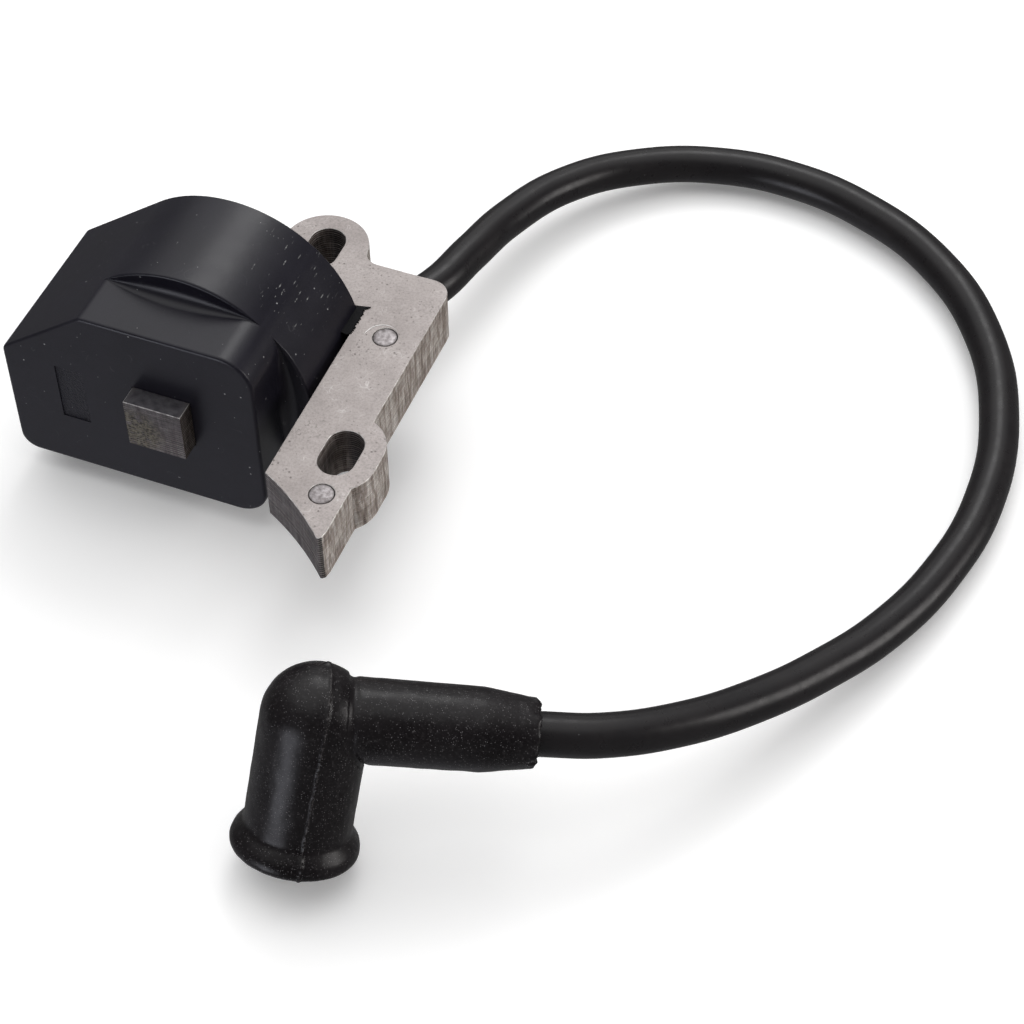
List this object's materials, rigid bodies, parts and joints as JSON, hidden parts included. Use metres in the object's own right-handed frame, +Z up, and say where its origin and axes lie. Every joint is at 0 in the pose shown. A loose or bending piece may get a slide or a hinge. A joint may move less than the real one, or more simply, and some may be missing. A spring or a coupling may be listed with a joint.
{
  "type": "ignition coil",
  "caption": "Flywheel ignition coil for a small engine: riveted U-shaped laminated core, potted coil case on one leg, high-tension lead and a swivelling rubber plug boot.",
  "frame": {"origin": "centre of the module's footprint, on the surface it stands on; the lead and the boot are left out of the footprint", "axes": "+Y along the core's legs from the pole ends towards the yoke, +X from the coil case towards the bare bar, +Z up, square to the laminations"},
  "size_m": [0.1631, 0.1851, 0.045],
  "materials": {
    "lamination_steel": "dull ground sheet steel, lightly pitted",
    "rivet_steel": "bright, hammered ends",
    "case_plastic": "satin black glass-filled nylon",
    "resin": "glossy black epoxy",
    "nylon": "natural nylon",
    "copper_winding": "enamelled copper wire",
    "wound_tape": "fine enamelled wire under polyester tape",
    "circuit_board": "solder-masked laminate",
    "component_body": "moulded epoxy",
    "component_ceramic": "dipped ceramic",
    "brass": "stamped brass",
    "lead_insulation": "satin black silicone-rubber insulation",
    "boot_rubber": "dull dusty black rubber",
    "spring_steel": "plated spring wire"
  },
  "bodies": {
    "module": {"lamination_bottom": "lamination_steel", "lamination_packet": "lamination_steel", "lamination_top": "lamination_steel", "rivet_front": "rivet_steel", "rivet_rear": "rivet_steel", "rivet_leg": "rivet_steel", "coil_case": "case_plastic", "potting_resin": "resin", "primary_bobbin": "nylon", "trigger_winding": "copper_winding", "primary_winding": "copper_winding", "secondary_bobbin": "nylon", "secondary_winding": "wound_tape", "circuit_board": "circuit_board", "power_transistor": "component_body", "control_transistor": "component_body", "bias_resistor": "component_ceramic", "flyback_diode": "component_body", "timing_capacitor": "component_ceramic", "ground_strap": "brass", "stop_terminal": "brass", "lead_contact": "brass", "strain_relief": "boot_rubber", "high_tension_lead": "lead_insulation"},
    "boot": {"plug_boot": "boot_rubber", "plug_clip": "spring_steel"}
  },
  "joints": [
    {"name": "boot_swivel", "type": "hinge", "parent": "module", "child": "boot", "pos_m": [0.04522, -0.06476, 0.025], "axis": [0.9083, 0.3837, -0.1668], "range_deg": [-90, 90]}
  ]
}
